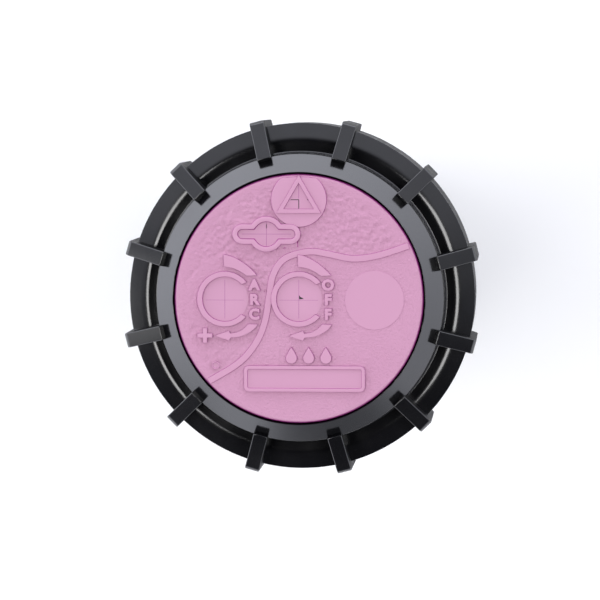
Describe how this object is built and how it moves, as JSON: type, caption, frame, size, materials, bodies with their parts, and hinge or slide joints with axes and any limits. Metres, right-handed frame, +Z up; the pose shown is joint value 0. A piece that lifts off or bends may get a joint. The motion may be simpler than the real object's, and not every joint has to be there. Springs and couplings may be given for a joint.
{
  "type": "pop up sprinkler",
  "caption": "Gear driven pop up sprinkler head with a ribbed screw cap, a purple rubber cover, a spring retracted riser and a turning nozzle turret.",
  "frame": {"origin": "centre of the inlet's bottom face", "axes": "+Z is up along the head's axis, +Y is the way the nozzle points, +X is right seen from above"},
  "size_m": [0.0682, 0.0682, 0.19],
  "materials": {
    "case_plastic": "black moulded plastic",
    "cap_plastic": "glossy black moulded plastic",
    "riser_plastic": "smooth black plastic",
    "cover_rubber": "purple rubber with pebbled and fine grained fields",
    "seal_rubber": "black rubber",
    "spring_steel": "stainless steel",
    "acetal": "natural acetal",
    "nozzle_plastic": "blue plastic",
    "screw_plastic": "grey plastic"
  },
  "bodies": {
    "casing": {"body_case": "case_plastic", "body_cap": "cap_plastic", "riser_seal": "seal_rubber", "spring_seat": "case_plastic", "retract_spring": "spring_steel"},
    "riser": {"riser_tube": "riser_plastic", "guide_ring": "acetal", "filter_screen": "riser_plastic", "flow_stator": "acetal", "gear_case": "riser_plastic", "gear_case_lid": "riser_plastic", "gear_pin": "spring_steel", "bearing_washer": "acetal", "check_valve_spring": "spring_steel"},
    "check_valve_body": {"check_valve": "acetal", "check_valve_seal": "seal_rubber"},
    "turbine_body": {"turbine": "acetal", "turbine_shaft": "spring_steel"},
    "gear_1_body": {"gear_stage_1": "acetal"},
    "gear_2_body": {"gear_stage_2": "acetal"},
    "gear_3_body": {"gear_stage_3": "acetal"},
    "trip_lever_body": {"trip_lever": "acetal"},
    "turret": {"turret_body": "riser_plastic", "turret_plate": "riser_plastic", "turret_cover": "cover_rubber", "nozzle": "nozzle_plastic", "output_shaft": "acetal", "thrust_washer": "acetal", "snap_ring": "spring_steel", "turret_o_ring": "seal_rubber"},
    "radius_screw_body": {"radius_screw": "spring_steel"},
    "arc_ring_body": {"arc_ring": "acetal"},
    "arc_screw_body": {"arc_screw": "screw_plastic"},
    "shutoff_screw_body": {"shutoff_screw": "screw_plastic"},
    "shutoff_valve_body": {"shutoff_valve": "acetal"}
  },
  "joints": [
    {"name": "riser_slide", "type": "slide", "parent": "casing", "child": "riser", "axis": [0, 0, 1], "range_m": [0, 0.1], "stiffness_N_per_m": 300, "springref_m": -0.07, "deforming": ["retract_spring"]},
    {"name": "turret_turn", "type": "hinge", "parent": "riser", "child": "turret", "pos_m": [0, 0, 0.15], "axis": [0, 0, 1], "continuous": true},
    {"name": "turbine_spin", "type": "hinge", "parent": "riser", "child": "turbine_body", "pos_m": [0, 0, 0.07], "axis": [0, 0, 1], "continuous": true},
    {"name": "gear_1_spin", "type": "hinge", "parent": "riser", "child": "gear_1_body", "pos_m": [0.007, 0, 0.084], "axis": [0, 0, 1], "continuous": true},
    {"name": "gear_2_spin", "type": "hinge", "parent": "riser", "child": "gear_2_body", "pos_m": [0, 0, 0.088], "axis": [0, 0, 1], "continuous": true},
    {"name": "gear_3_spin", "type": "hinge", "parent": "riser", "child": "gear_3_body", "pos_m": [0.007, 0, 0.092], "axis": [0, 0, 1], "continuous": true},
    {"name": "check_valve_lift", "type": "slide", "parent": "riser", "child": "check_valve_body", "axis": [0, 0, 1], "range_m": [0, 0.003], "stiffness_N_per_m": 60, "springref_m": -0.004, "deforming": ["check_valve_spring"]},
    {"name": "trip_lever_swing", "type": "hinge", "parent": "riser", "child": "trip_lever_body", "pos_m": [0, -0.0163, 0.1], "axis": [0, 0, 1], "range_deg": [-10, 10]},
    {"name": "radius_screw_turn", "type": "hinge", "parent": "turret", "child": "radius_screw_body", "pos_m": [0, 0.0188, 0.18], "axis": [0, 0, 1], "continuous": true},
    {"name": "arc_ring_turn", "type": "hinge", "parent": "turret", "child": "arc_ring_body", "pos_m": [0, 0, 0.1575], "axis": [0, 0, 1], "range_deg": [-320, 0]},
    {"name": "arc_screw_turn", "type": "hinge", "parent": "turret", "child": "arc_screw_body", "pos_m": [-0.0145, 0, 0.1575], "axis": [0, 0, 1], "range_deg": [0, 1536]},
    {"name": "shutoff_screw_turn", "type": "hinge", "parent": "turret", "child": "shutoff_screw_body", "pos_m": [0, 0, 0.17], "axis": [0, 0, 1], "range_deg": [-1440, 0]},
    {"name": "shutoff_valve_slide", "type": "slide", "parent": "turret", "child": "shutoff_valve_body", "axis": [0, 0, 1], "range_m": [-0.006, 0]}
  ],
  "couplings": [
    {"joint": "gear_3_spin", "follows": "turret_turn", "ratio": 5},
    {"joint": "gear_2_spin", "follows": "turret_turn", "ratio": -15},
    {"joint": "gear_1_spin", "follows": "turret_turn", "ratio": 45},
    {"joint": "turbine_spin", "follows": "turret_turn", "ratio": -135},
    {"joint": "arc_screw_turn", "follows": "arc_ring_turn", "ratio": -4.8},
    {"joint": "shutoff_screw_turn", "follows": "shutoff_valve_slide", "rad_per_m": 4188.8}
  ]
}
